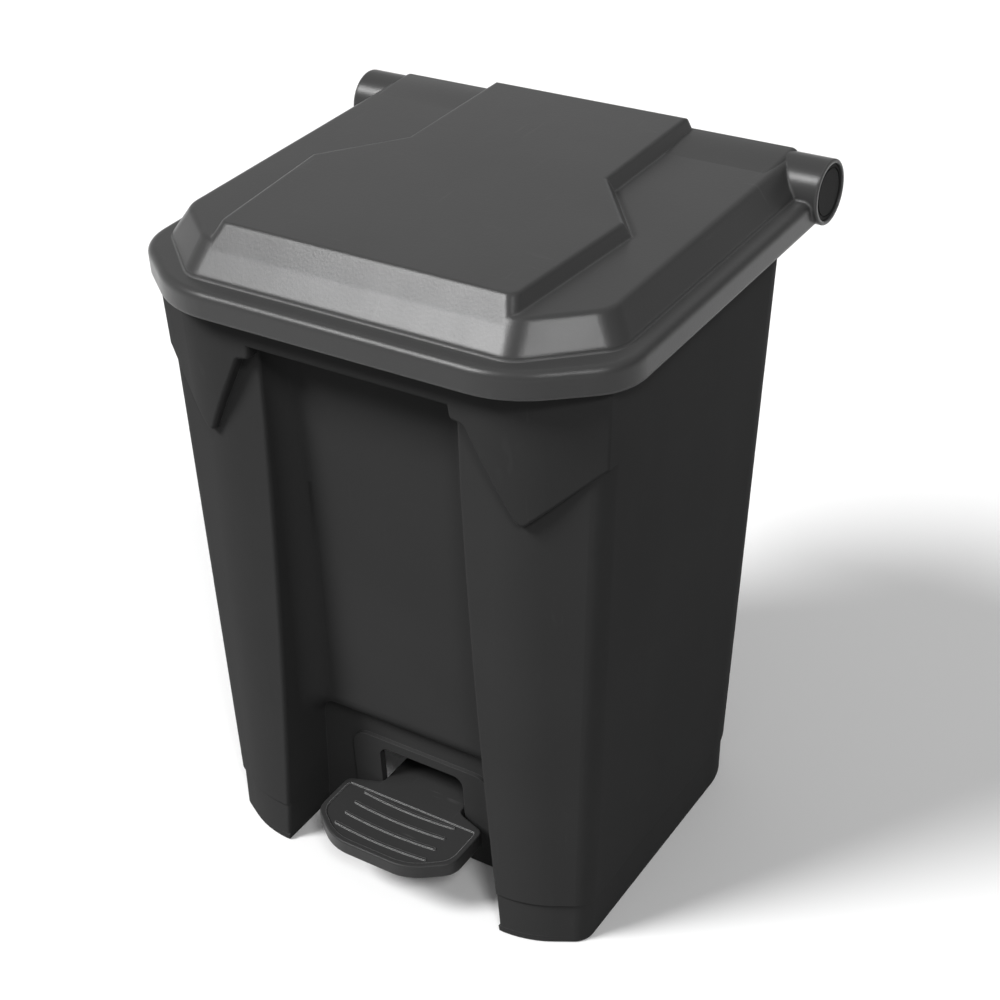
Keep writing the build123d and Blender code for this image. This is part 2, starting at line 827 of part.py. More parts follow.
with BuildPart() as rim_seal:
    seal_height = rim_top - wall - body_height - seal_gap
    seal_edge = wall + skirt_clearance + seal_inset
    extrude(flange_plan(body_height, seal_edge), amount=seal_height)
    extrude(flange_plan(body_height, seal_edge + seal_width), amount=seal_height, mode=Mode.SUBTRACT)
keep(rim_seal.part, "rim_seal")

with BuildPart() as foot_pads:
    with BuildSketch(Plane.XY):
        with Locations(*pad_places):
            Circle(pad_radius)
    extrude(amount=pad_height)
    chamfer(foot_pads.faces().group_by(Axis.Z)[0].edges(), pad_chamfer)
keep(foot_pads.part, "foot_pads")

with BuildPart() as rear_cover:
    with BuildSketch(rear_face.offset(spine_depth)):
        with Locations((0.0, (spine_top + cover_foot) / 2)):
            RectangleRounded(2 * spine_half, spine_top - cover_foot, cover_corner_radius)
        with Locations(*cover_screw_places):
            Circle(screw_radius + screw_fit, mode=Mode.SUBTRACT)
    extrude(amount=cover_thickness)
    fillet(rear_cover.faces().sort_by(Axis.Y)[-1].outer_wire().edges(), cover_edge_radius)
keep(rear_cover.part, "rear_cover")

cover_screws = pan_screws(
    rear_face.offset(spine_depth + cover_thickness),
    cover_screw_places,
    cover_screw_length + cover_thickness - screw_end_gap,
)
keep(cover_screws, "cover_screws")

with BuildPart() as rod_guide:
    guide_wall_y = rear_wall_y(guide_height)
    slot_y = guide_wall_y + push_rod_offset - rod_drift / 2
    slot_width = 2 * (push_rod_radius + guide_slot_play)
    with BuildSketch(Plane.XY.offset(guide_height)):
        with Locations((0.0, guide_wall_y + spine_depth / 2)):
            Rectangle(2 * (spine_half - spine_wall - guide_fit), spine_depth - guide_gap)
        with Locations((0.0, slot_y)):
            SlotCenterToCenter(rod_drift + guide_gap, slot_width, rotation=90.0, mode=Mode.SUBTRACT)
        with Locations((0.0, guide_wall_y)):
            Rectangle(slot_width, 2 * (slot_y - guide_wall_y), mode=Mode.SUBTRACT)
    extrude(amount=guide_thickness / 2, both=True)
keep(rod_guide.part, "rod_guide")

# ---------------------------------------------------------------- hinge rod
rod_half = ear_far + knuckle_gap + knuckle_width + hinge_rod_spare
retainer_at = ear_far + knuckle_gap + knuckle_width + retainer_gap

with BuildPart() as hinge_rod:
    extrude(disc(Plane.YZ, hinge_centre, hinge_rod_radius), amount=rod_half, both=True)
    chamfer(hinge_rod.edges().filter_by(GeomType.CIRCLE), rod_chamfer)
keep(hinge_rod.part, "hinge_rod")

with BuildPart() as hinge_rod_retainers:
    for side in (-1, 1):
        ring = disc(Plane.YZ.offset(side * retainer_at), hinge_centre, retainer_radius, hinge_rod_radius)
        extrude(ring, amount=side * retainer_width)
keep(hinge_rod_retainers.part, "hinge_rod_retainers")

# ---------------------------------------------------------------- lid
skirt_low = rim_top - rim_skirt
ring_under = rim_top - wall
deck_under = deck_height - wall
panel_under = panel_height - wall
bracket_seat = panel_under - crank_seat_drop
cap_seat = barrel_open_half + barrel_bulkhead
cap_groove_radius = barrel_radius - 2 * wall

with BuildPart() as lid_space:
    extrude(rim_outline(skirt_low - overlap, wall), amount=rim_skirt - wall + overlap)
    extrude(crown_outline(ring_under - overlap, slope_inset), amount=wall + crown_riser + overlap)
    loft(
        sections=[crown_outline(rim_top + crown_riser, slope_inset), deck_outline(deck_under, deck_inset)],
        ruled=True,
    )
    loft(
        sections=[
            panel_plan(deck_under - overlap, deck_front, panel_flare, wall),
            panel_plan(panel_under, panel_front, 0.0, wall),
        ],
        ruled=True,
    )
    # inside of the barrel, and its open underside
    extrude(disc(Plane.YZ, hinge_centre, barrel_radius - wall), amount=barrel_open_half, both=True)
    with BuildSketch(Plane.YZ):
        with BuildLine():
            far = 2 * barrel_radius
            Polyline(
                (hinge_y - far, ring_under),
                (hinge_y + barrel_mouth, ring_under),
                (hinge_y + far, ring_under - (far - barrel_mouth) * barrel_mouth_slope),
                (hinge_y + far, skirt_low - far),
                (hinge_y - far, skirt_low - far),
                close=True,
            )
        make_face()
    extrude(amount=barrel_open_half, both=True)

with BuildPart() as crown:
    extrude(crown_outline(rim_top - overlap), amount=crown_riser + overlap)
    loft(sections=[crown_outline(rim_top + crown_riser), deck_outline(deck_height)], ruled=True)
    deck_edges = crown.faces().sort_by(Axis.Z)[-1].outer_wire().edges()
    fillet(deck_edges.filter_by(lambda edge: edge.center().Y < hinge_y - overlap), deck_edge_radius)
    foot_edges = crown.edges().filter_by(lambda edge: abs(edge.center().Z - rim_top - crown_riser) < screw_fit)
    fillet(foot_edges.filter_by(lambda edge: edge.center().Y < hinge_y - overlap), crown_edge_radius)

with BuildPart() as panel:
    crown_lean = deck_front_inset / (crown_rise - crown_riser)
    sunk_flare = panel_flare * (1 + deck_edge_radius / panel_rise)
    loft(
        sections=[
            panel_plan(deck_height - deck_edge_radius, deck_front - crown_lean * deck_edge_radius, sunk_flare),
            panel_plan(panel_height, panel_front, 0.0),
        ],
        ruled=True,
    )
    fillet(panel.faces().sort_by(Axis.Z)[-1].outer_wire().edges(), panel_edge_radius)

with BuildPart() as barrel:
    extrude(disc(Plane.YZ, hinge_centre, barrel_radius), amount=barrel_half, both=True)
    fillet(barrel.edges().filter_by(GeomType.CIRCLE), barrel_edge_radius)

with BuildPart() as lid_shell:
    extrude(rim_outline(skirt_low), amount=rim_skirt)
    top_edges = lid_shell.faces().sort_by(Axis.Z)[-1].outer_wire().edges()
    fillet(top_edges.filter_by(lambda edge: edge.center().Y < hinge_y - overlap), rim_edge_radius)
    add(crown.part)
    add(panel.part)
    add(barrel.part)
    add(lid_space.part, mode=Mode.SUBTRACT)
    # knuckle webs each side of the body's ears
    for side in (-1, 1):
        for start in (ear_inner - knuckle_gap - knuckle_width, ear_far + knuckle_gap):
            with BuildSketch(Plane.YZ.offset(side * start)):
                with Locations(hinge_centre):
                    Circle(barrel_radius - wall + barrel_lip)
                with BuildLine():
                    Polyline(
                        hinge_centre,
                        (hinge_y, deck_under + overlap / 2),
                        (hinge_y - knuckle_reach, deck_under + overlap / 2),
                        (hinge_y - knuckle_reach, deck_under - knuckle_depth),
                        (hinge_y - knuckle_foot, hinge_height),
                        close=True,
                    )
                make_face()
            extrude(amount=side * knuckle_width)
    # closed ends of the barrel, with seats for the end caps
    for side in (-1, 1):
        end = disc(Plane.YZ.offset(side * barrel_open_half), hinge_centre, barrel_radius)
        extrude(end, amount=side * (barrel_end - 2 * barrel_edge_radius))
        seat = disc(Plane.YZ.offset(side * cap_seat), hinge_centre, barrel_radius - wall)
        extrude(seat, amount=side * reach, mode=Mode.SUBTRACT)
    bore = disc(Plane.YZ, hinge_centre, hinge_rod_radius + running_clearance)
    extrude(bore, amount=barrel_open_half - barrel_bulkhead, both=True, mode=Mode.SUBTRACT)
    # bosses under the panel for the crank bracket
    with BuildSketch(Plane.XY.offset(bracket_seat)):
        with Locations(*crank_screw_places):
            Circle(boss_radius)
            Circle(screw_radius + screw_fit, mode=Mode.SUBTRACT)
    extrude(amount=crank_seat_drop + overlap / 2)
keep(lid_shell.part, "lid_shell")

for side, name in ((-1, "hinge_cap_left"), (1, "hinge_cap_right")):
    with BuildPart() as hinge_cap:
        face = disc(Plane.YZ.offset(side * cap_seat), hinge_centre, barrel_radius - wall - cap_clearance)
        extrude(face, amount=side * cap_thickness)
        rims = hinge_cap.edges().filter_by(GeomType.CIRCLE)
        fillet(rims.sort_by(lambda edge: side * edge.center().X)[-1], cap_edge_radius)
        groove_plane = Plane.YZ.offset(side * (cap_seat + cap_thickness))
        groove = disc(groove_plane, hinge_centre, cap_groove_radius, cap_groove_radius - cap_groove_width)
        extrude(groove, amount=-side * cap_groove_depth, mode=Mode.SUBTRACT)
    keep(hinge_cap.part, name)

# ---------------------------------------------------------------- crank on the lid
lug_outer = lug_gap_half + lug_thickness
plate_low = bracket_seat - crank_plate_thickness

with BuildPart() as crank_bracket:
    with BuildSketch(Plane.XY.offset(plate_low)):
        with Locations((0.0, crank_plate_y)):
            RectangleRounded(crank_plate_width, crank_plate_depth, crank_plate_radius)
        with Locations(*crank_screw_places):
            Circle(screw_radius + screw_fit, mode=Mode.SUBTRACT)
    extrude(amount=crank_plate_thickness)
    for side in (-1, 1):
        with BuildSketch(Plane.YZ.offset(side * lug_gap_half)):
            with BuildLine():
                Polyline(
                    (crank_plate_y - lug_front_run, plate_low),
                    (crank_plate_y + lug_rear_run, plate_low),
                    on_circle(crank_pin_y, crank_pin_z, lug_end_radius, lug_rear_angle),
                    on_circle(crank_pin_y, crank_pin_z, lug_end_radius, lug_front_angle),
                    close=True,
                )
            make_face()
            with Locations(crank_pin_centre):
                Circle(lug_end_radius)
                Circle(crank_pin_radius + crank_pin_fit, mode=Mode.SUBTRACT)
        extrude(amount=side * lug_thickness)
keep(crank_bracket.part, "crank_bracket")

crank_screws = pan_screws(facing_down(plate_low), turned_over(crank_screw_places), crank_screw_length)
keep(crank_screws, "crank_screws")

with BuildPart() as crank_pin:
    extrude(disc(Plane.YZ, crank_pin_centre, crank_pin_radius), amount=lug_outer + crank_pin_head, both=True)
    for side in (-1, 1):
        head = disc(Plane.YZ.offset(side * (lug_outer + screw_fit)), crank_pin_centre, crank_pin_head_radius)
        extrude(head, amount=side * crank_pin_head)
keep(crank_pin.part, "crank_pin")

# ---------------------------------------------------------------- push rod
rod_lean = atan2(rod_top_y - rod_foot_y, crank_pin_z - foot_pin_z)
rod_axis = Plane(
    origin=(0.0, rod_foot_y, foot_pin_z), x_dir=(1.0, 0.0, 0.0), z_dir=(0.0, sin(rod_lean), cos(rod_lean))
)
rod_length = sqrt((rod_top_y - rod_foot_y) ** 2 + (crank_pin_z - foot_pin_z) ** 2)
slot_half_length = crank_pin_radius + crank_swing / 2 + pedal_sag + slot_play
slot_half_height = crank_pin_radius + coupling_share * crank_radius + slot_play
eye_half = lug_gap_half - head_gap
axis_centre = (0.0, 0.0)

with BuildPart() as push_rod:
    rod_end = disc(rod_axis.offset(socket_start), axis_centre, push_rod_radius)
    extrude(rod_end, amount=rod_length - 2 * socket_start)
keep(push_rod.part, "push_rod")

with BuildPart() as rod_foot:
    extrude(disc(Plane.YZ, foot_pin_centre, foot_radius), amount=foot_half, both=True)
    extrude(disc(rod_axis, axis_centre, stem_radius), amount=stem_length)
    socket = disc(rod_axis.offset(socket_start), axis_centre, push_rod_radius)
    extrude(socket, amount=stem_length, mode=Mode.SUBTRACT)
    bore = disc(Plane.YZ, foot_pin_centre, foot_pin_radius + running_clearance)
    extrude(bore, amount=foot_half, both=True, mode=Mode.SUBTRACT)
keep(rod_foot.part, "rod_foot")

with BuildPart() as rod_head:
    with BuildSketch(Plane.YZ):
        with Locations((rod_top_y, crank_pin_z)):
            RectangleRounded(
                2 * (slot_half_length + head_wall), 2 * (slot_half_height + head_wall), head_corner_radius
            )
    extrude(amount=eye_half, both=True)
    extrude(disc(rod_axis.offset(rod_length), axis_centre, stem_radius), amount=-stem_length)
    socket = disc(rod_axis.offset(rod_length - socket_start), axis_centre, push_rod_radius)
    extrude(socket, amount=-stem_length, mode=Mode.SUBTRACT)
    with BuildSketch(Plane.YZ):
        with Locations((rod_top_y, crank_pin_z)):
            SlotOverall(2 * slot_half_length, 2 * slot_half_height)
    extrude(amount=eye_half, both=True, mode=Mode.SUBTRACT)
keep(rod_head.part, "rod_head")


# ---------------------------------------------------------------- pedal
def tread_plan(height, inset=0.0):
    """Plan outline of the tread and of its neck, which runs back through the wall."""
    with BuildSketch(Plane.XY.offset(height)) as plan:
        with BuildLine():
            right = [
                (tread_nose_half, pedal_nose),
                (tread_half, tread_shoulder),
                (tread_half, tread_back),
                (neck_half, neck_shoulder),
                (neck_half, neck_end),
            ]
            left = [(-across, along) for across, along in reversed(right)]
            Polyline(*right, *left, close=True)
        make_face()
        if inset:
            offset(amount=-inset, kind=Kind.INTERSECTION)
        levels = plan.vertices().group_by(Axis.Y)
        fillet(levels[2] + levels[3], tread_corner_radius)
        fillet(corners_at(plan, levels[1]), tread_side_radius)
        fillet(corners_at(plan, levels[0]), tread_nose_radius)
    return plan.sketch


def lever_profile(skin, opening):
    """Side view of the lever, set in by a skin at the top and run past its flanges below."""
    with BuildSketch(Plane.YZ) as view:
        with BuildLine():
            Polyline(
                (lever_front, lever_top - skin),
                (lever_rise_start, lever_top - skin),
                (pivot_y - lever_crest_ahead, lever_crest_top - skin),
                (pivot_y + lever_waist, lever_crest_top - skin),
                (rod_foot_y, lever_tail_top + lever_tail_rise - skin),
                (lever_tail_end + skin, lever_tail_top - skin),
                (lever_tail_end + skin, lever_tail_low - opening),
                (rod_foot_y - lever_tail_ahead, lever_tail_low - opening),
                (pivot_y + lever_waist, lever_belly_low - opening),
                (pivot_y - lever_waist, lever_belly_low - opening),
                (lever_rise_start, lever_top - lever_flange - opening),
                (lever_front, lever_top - lever_flange - opening),
                close=True,
            )
        make_face()
    return view.sketch


with BuildPart() as pedal_tread:
    extrude(tread_plan(tread_low), amount=tread_lip)
    fillet(pedal_tread.faces().sort_by(Axis.Z)[-1].outer_wire().edges(), tread_edge_radius)
    extrude(tread_plan(tread_low, tread_skin), amount=tread_lip - tread_deck, mode=Mode.SUBTRACT)
    with BuildSketch(Plane.XY.offset(tread_low)):
        with Locations((0.0, neck_end)):
            Rectangle(2 * (neck_half - tread_skin), 4 * tread_skin)
    extrude(amount=tread_lip - tread_deck, mode=Mode.SUBTRACT)
    # shallow tray in the tread with raised grip ribs
    with BuildSketch(Plane.XY.offset(tread_top - tray_depth)):
        add(tread_plan(0.0, tray_inset))
        with Locations((0.0, tread_back - tread_deck - reach)):
            Rectangle(2 * reach, 2 * reach, mode=Mode.INTERSECT)
    extrude(amount=tray_depth, mode=Mode.SUBTRACT)
    with BuildSketch(Plane.XY.offset(tread_top - tray_depth)):
        for index in range(rib_count):
            rib_y = rib_first - index * rib_pitch
            bow = ThreePointArc(
                (-rib_half, rib_y), (0.0, rib_y - rib_bow), (rib_half, rib_y), mode=Mode.PRIVATE
            )
            SlotArc(bow, rib_width)
    extrude(amount=tray_depth)
    with BuildSketch(Plane.XY.offset(lever_top)):
        with Locations(*tread_screw_places):
            Circle(boss_radius)
            Circle(screw_radius + screw_fit, mode=Mode.SUBTRACT)
    extrude(amount=tread_under - lever_top + bush_gap)
keep(pedal_tread.part, "pedal_tread")

with BuildPart() as pedal_lever:
    extrude(lever_profile(0.0, 0.0), amount=lever_half, both=True)
    channel = lever_profile(lever_thickness, lever_opening)
    extrude(channel, amount=lever_half - lever_thickness, both=True, mode=Mode.SUBTRACT)
    with BuildSketch(Plane.YZ):
        with Locations((rod_foot_y, lever_tail_top + lever_tail_rise)):
            Rectangle(2 * lever_clearing, 2 * lever_clearing_height)
    extrude(amount=lever_half - lever_thickness, both=True, mode=Mode.SUBTRACT)
    bush_hole = disc(Plane.YZ, pivot_centre, bush_radius + bush_fit)
    extrude(bush_hole, amount=lever_half + overlap, both=True, mode=Mode.SUBTRACT)
    pin_hole = disc(Plane.YZ, foot_pin_centre, foot_pin_radius + foot_pin_fit)
    extrude(pin_hole, amount=lever_half + overlap, both=True, mode=Mode.SUBTRACT)
    with BuildSketch(Plane.XY.offset(lever_top)):
        with Locations(*tread_screw_places):
            Circle(screw_radius + screw_fit)
    extrude(amount=-2 * lever_thickness, mode=Mode.SUBTRACT)
keep(pedal_lever.part, "pedal_lever")

tread_screw_length = lever_thickness + tread_under - lever_top
tread_screws = pan_screws(
    facing_down(lever_top - lever_thickness), turned_over(tread_screw_places), tread_screw_length
)
keep(tread_screws, "tread_screws")

with BuildPart() as lever_bushes:
    bush_bore = axle_radius + running_clearance
    for side in (-1, 1):
        inner_plane = Plane.YZ.offset(side * (lever_half - lever_thickness))
        extrude(disc(inner_plane, pivot_centre, bush_radius, bush_bore), amount=side * lever_thickness)
        collar = disc(Plane.YZ.offset(side * lever_half), pivot_centre, bush_collar_radius, bush_bore)
        extrude(collar, amount=side * (bracket_inner - lever_half - bush_gap))
keep(lever_bushes.part, "lever_bushes")

with BuildPart() as pedal_axle:
    axle_half = bracket_inner + bracket_width + axle_spare
    extrude(disc(Plane.YZ, pivot_centre, axle_radius), amount=axle_half, both=True)
    chamfer(pedal_axle.edges().filter_by(GeomType.CIRCLE), rod_chamfer)
keep(pedal_axle.part, "pedal_axle")

with BuildPart() as axle_clips:
    for side in (-1, 1):
        clip_plane = Plane.YZ.offset(side * (bracket_inner + bracket_width + clip_gap))
        extrude(disc(clip_plane, pivot_centre, clip_radius, axle_radius), amount=side * clip_width)
keep(axle_clips.part, "axle_clips")

with BuildPart() as axle_brackets:
    for side in (-1, 1):
        with BuildSketch(Plane.YZ.offset(side * bracket_inner)):
            with BuildLine():
                Polyline(
                    (pivot_y - bracket_half_length, bracket_top),
                    (pivot_y + bracket_half_length, bracket_top),
                    (pivot_y + bracket_half_length, bracket_top - bracket_shoulder),
                    (pivot_y + bracket_eye_radius, pivot_height),
                    (pivot_y - bracket_eye_radius, pivot_height),
                    (pivot_y - bracket_half_length, bracket_top - bracket_shoulder),
                    close=True,
                )
            make_face()
            with Locations(pivot_centre):
                Circle(bracket_eye_radius)
                Circle(axle_radius + screw_fit, mode=Mode.SUBTRACT)
        extrude(amount=side * bracket_width)
        with BuildSketch(Plane.XY.offset(bracket_top - bracket_foot)):
            with Locations((side * (bracket_inner + bracket_foot_width / 2), pivot_y)):
                RectangleRounded(bracket_foot_width, 2 * bracket_half_length, bracket_foot_radius)
        extrude(amount=bracket_foot)
    with BuildSketch(Plane.XY.offset(bracket_top)):
        with Locations(*bracket_places):
            Circle(screw_radius + screw_fit)
    extrude(amount=-2 * bracket_foot, mode=Mode.SUBTRACT)
keep(axle_brackets.part, "axle_brackets")

bracket_screw_length = bracket_foot + boss_height - screw_end_gap
bracket_screws = pan_screws(
    facing_down(bracket_top - bracket_foot), turned_over(bracket_places), bracket_screw_length
)
keep(bracket_screws, "bracket_screws")

with BuildPart() as foot_pin:
    extrude(disc(Plane.YZ, foot_pin_centre, foot_pin_radius), amount=lever_half + foot_pin_spare, both=True)
keep(foot_pin.part, "foot_pin")

with BuildPart() as foot_pin_clips:
    for side in (-1, 1):
        clip_plane = Plane.YZ.offset(side * (lever_half + foot_clip_gap))
        ring = disc(clip_plane, foot_pin_centre, foot_pin_radius + foot_clip_rim, foot_pin_radius)
        extrude(ring, amount=side * foot_clip_width)
keep(foot_pin_clips.part, "foot_pin_clips")
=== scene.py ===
"""Looks for a step-on litter pail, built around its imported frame.

The pail is one dark moulded plastic body on four rubber pads, a hinged lid with a raised panel,
and a foot pedal whose lever lifts a push rod behind the rear wall. Everything is in metres,
+Z up, with the front of the pail towards -Y.
"""

import json
import logging
from dataclasses import dataclass, field, replace
from enum import Enum

import bpy
import numpy as np
from mathutils import Matrix, Vector


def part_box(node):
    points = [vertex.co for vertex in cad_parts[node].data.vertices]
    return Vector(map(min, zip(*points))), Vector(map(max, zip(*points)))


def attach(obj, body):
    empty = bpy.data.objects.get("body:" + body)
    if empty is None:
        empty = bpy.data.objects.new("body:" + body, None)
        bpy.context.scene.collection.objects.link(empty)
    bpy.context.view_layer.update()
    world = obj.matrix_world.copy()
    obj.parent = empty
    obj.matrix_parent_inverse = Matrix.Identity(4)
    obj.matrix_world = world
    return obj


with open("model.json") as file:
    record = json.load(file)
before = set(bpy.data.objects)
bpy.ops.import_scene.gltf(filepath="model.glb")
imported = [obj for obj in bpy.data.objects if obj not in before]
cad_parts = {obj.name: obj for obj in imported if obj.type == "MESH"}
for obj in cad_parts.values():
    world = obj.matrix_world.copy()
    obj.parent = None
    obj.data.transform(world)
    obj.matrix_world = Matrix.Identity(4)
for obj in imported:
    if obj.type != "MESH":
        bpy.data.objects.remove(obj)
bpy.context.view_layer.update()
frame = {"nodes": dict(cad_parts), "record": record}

log = logging.getLogger("litter_pail")

Colour = tuple[float, float, float, float]
Triple = tuple[float, float, float]

WHITE: Colour = (1.0, 1.0, 1.0, 1.0)

# Sockets of a Mix node in colour mode. Its modes share their names, so they go by place.
MIX_FACTOR, MIX_FIRST, MIX_SECOND, MIX_RESULT = 0, 6, 7, 2


class Finish(Enum):
    """The finishes of the pail's pieces, by the record's material slots."""

    BODY = "body_plastic"
    LID = "lid_plastic"
    CAP = "cap_plastic"
    PEDAL = "pedal_plastic"
    SEAL = "seal_rubber"
    PAD = "pad_rubber"
    NYLON = "nylon"
    STEEL = "steel"
    PLATED = "plated_steel"
    SCREW = "screw_steel"


class Socket(Enum):
    """Kinds of group socket."""

    FLOAT = "NodeSocketFloat"
    VECTOR = "NodeSocketVector"


# ---------------------------------------------------------------- node trees
class Tree:
    """A node tree with short calls for adding and joining nodes."""

    def __init__(self, nodes: bpy.types.NodeTree) -> None:
        """Keep the tree that the calls work on.

        Args:
            nodes: The tree of a material, a world or a group.
        """
        self.tree = nodes

    def add(self, kind: str, props: dict[str, object] | None = None, **inputs: object) -> bpy.types.Node:
        """Add a node, set its properties and fill or link its inputs.

        Args:
            kind: Blender's type name of the node.
            props: Properties of the node itself.
            inputs: Input sockets by name, with spaces as underscores. A socket is linked.

        Returns:
            The new node.
        """
        node = self.tree.nodes.new(kind)
        for name, value in (props or {}).items():
            setattr(node, name, value)
        for name, value in inputs.items():
            self.feed(node.inputs[name.replace("_", " ")], value)
        return node

    def feed(self, socket: bpy.types.NodeSocket, value: object) -> None:
        """Fill an input.

        Args:
            socket: The input.
            value: A socket to link into it, or a plain value.
        """
        if isinstance(value, bpy.types.NodeSocket):
            self.tree.links.new(value, socket)
        else:
            socket.default_value = value

    def math(self, operation: str, first: object, second: object) -> bpy.types.NodeSocket:
        """Add a Math node.

        Args:
            operation: What it does, in Blender's word.
            first: Its first value.
            second: Its second value.

        Returns:
            The outcome.
        """
        node = self.add("ShaderNodeMath", {"operation": operation})
        self.feed(node.inputs[0], first)
        self.feed(node.inputs[1], second)
        return node.outputs[0]

    def dot(self, first: object, second: object) -> bpy.types.NodeSocket:
        """Multiply two directions into one number, which is 1 where they agree.

        Args:
            first: One direction.
            second: The other.

        Returns:
            Their dot product.
        """
        node = self.add("ShaderNodeVectorMath", {"operation": "DOT_PRODUCT"})
        self.feed(node.inputs[0], first)
        self.feed(node.inputs[1], second)
        return node.outputs["Value"]

    def ramp(
        self, value: object, low: float, high: float, out_low: float = 0.0, out_high: float = 1.0
    ) -> bpy.types.NodeSocket:
        """Map a range of a value onto another, clamped and smooth at its ends.

        Args:
            value: The value to map.
            low: Where its range starts.
            high: Where its range ends.
            out_low: What the start becomes.
            out_high: What the end becomes.

        Returns:
            The mapped value.
        """
        limits = {"From_Min": low, "From_Max": high, "To_Min": out_low, "To_Max": out_high}
        node = self.add("ShaderNodeMapRange", {"interpolation_type": "SMOOTHSTEP"}, Value=value, **limits)
        return node.outputs["Result"]

    def blend(self, factor: object, first: object, second: object) -> bpy.types.NodeSocket:
        """Mix two colours.

        Args:
            factor: The share of the second.
            first: The colour at 0.
            second: The colour at 1.

        Returns:
            The mixed colour.
        """
        node = self.add("ShaderNodeMix", {"data_type": "RGBA"})
        self.feed(node.inputs[MIX_FACTOR], factor)
        self.feed(node.inputs[MIX_FIRST], first)
        self.feed(node.inputs[MIX_SECOND], second)
        return node.outputs[MIX_RESULT]

    def stretch(self, place: object, scale: Triple, turn: Triple = (0.0, 0.0, 0.0)) -> bpy.types.NodeSocket:
        """Stretch and turn a place.

        Args:
            place: The place.
            scale: Its stretch along each axis.
            turn: Its turn about each axis, in radians.

        Returns:
            The mapped place.
        """
        return self.add("ShaderNodeMapping", Vector=place, Rotation=turn, Scale=scale).outputs[0]

    def noise(
        self, place: object, scale: object, detail: float, roughness: float = 0.5
    ) -> bpy.types.NodeSocket:
        """Add a grey noise.

        Args:
            place: Where it is read.
            scale: Its waves per metre of place.
            detail: How many finer waves it holds.
            roughness: How strong each finer wave is next to the last.

        Returns:
            Its level.
        """
        node = self.add("ShaderNodeTexNoise", Vector=place, Scale=scale, Detail=detail, Roughness=roughness)
        return node.outputs[0]


def start_group(
    name: str, takes: dict[str, Socket], gives: dict[str, Socket]
) -> tuple[Tree, bpy.types.Node, bpy.types.Node]:
    """Start a shader node group with named inputs and outputs.

    Args:
        name: The group's name.
        takes: Its inputs.
        gives: Its outputs.

    Returns:
        The group's tree, its input node and its output node.
    """
    group = bpy.data.node_groups.new(name, "ShaderNodeTree")
    for label, kind in takes.items():
        group.interface.new_socket(label, in_out="INPUT", socket_type=kind.value)
    for label, kind in gives.items():
        group.interface.new_socket(label, in_out="OUTPUT", socket_type=kind.value)
    tree = Tree(group)
    return tree, tree.add("NodeGroupInput"), tree.add("NodeGroupOutput")


# ---------------------------------------------------------------- shared effects
@dataclass(frozen=True)
class MouldGrain:
    """Fine grain of a spark-eroded mould: small rounded pits between broad, uneven lows.

    Height is a noise at the given scale plus a smooth cell pattern at half of it.
    """

    noise_detail: float = 3.0
    noise_roughness: float = 0.55
    cell_scale: float = 0.5
    cell_smoothness: float = 0.6
    cell_share: float = 0.6

    def group(self) -> bpy.types.NodeTree:
        """Build the group.

        Returns:
            The group, which takes a Vector and a Scale and gives a Height.
        """
        tree, given, out = start_group(
            "moulded_grain",
            {"Vector": Socket.VECTOR, "Scale": Socket.FLOAT},
            {"Height": Socket.FLOAT},
        )
        place, scale = given.outputs["Vector"], given.outputs["Scale"]
        noise = tree.noise(place, scale, self.noise_detail, self.noise_roughness)
        cells = tree.add(
            "ShaderNodeTexVoronoi",
            {"feature": "SMOOTH_F1"},
            Vector=place,
            Scale=tree.math("MULTIPLY", scale, self.cell_scale),
            Smoothness=self.cell_smoothness,
        )
        pits = tree.math("MULTIPLY", cells.outputs["Distance"], self.cell_share)
        tree.feed(out.inputs["Height"], tree.math("ADD", noise, pits))
        return tree.tree


@dataclass(frozen=True)
class MeltFlow:
    """Slow changes of tone and gloss over a moulding, from the flow of the melt and from handling.

    Mask runs from 0 to 1 over a few centimetres. Streak does too, stretched along the height.
    """

    cloud_scale: float = 9.0
    cloud_detail: float = 4.0
    cloud_low: float = 0.3
    cloud_high: float = 0.7
    streak_stretch: Triple = (40.0, 40.0, 5.0)
    streak_detail: float = 3.0
    streak_low: float = 0.35
    streak_high: float = 0.75

    def group(self) -> bpy.types.NodeTree:
        """Build the group.

        Returns:
            The group, which takes a Vector and gives a Mask and a Streak.
        """
        tree, given, out = start_group(
            "melt_flow",
            {"Vector": Socket.VECTOR},
            {"Mask": Socket.FLOAT, "Streak": Socket.FLOAT},
        )
        place = given.outputs["Vector"]
        cloud = tree.noise(place, self.cloud_scale, self.cloud_detail)
        tree.feed(out.inputs["Mask"], tree.ramp(cloud, self.cloud_low, self.cloud_high))
        streak = tree.noise(tree.stretch(place, self.streak_stretch), 1.0, self.streak_detail)
        tree.feed(out.inputs["Streak"], tree.ramp(streak, self.streak_low, self.streak_high))
        return tree.tree


@dataclass(frozen=True)
class Scratch:
    """One direction of fine scratches: the turn and the stretch of the noise that makes them."""

    turn: Triple
    stretch: Triple


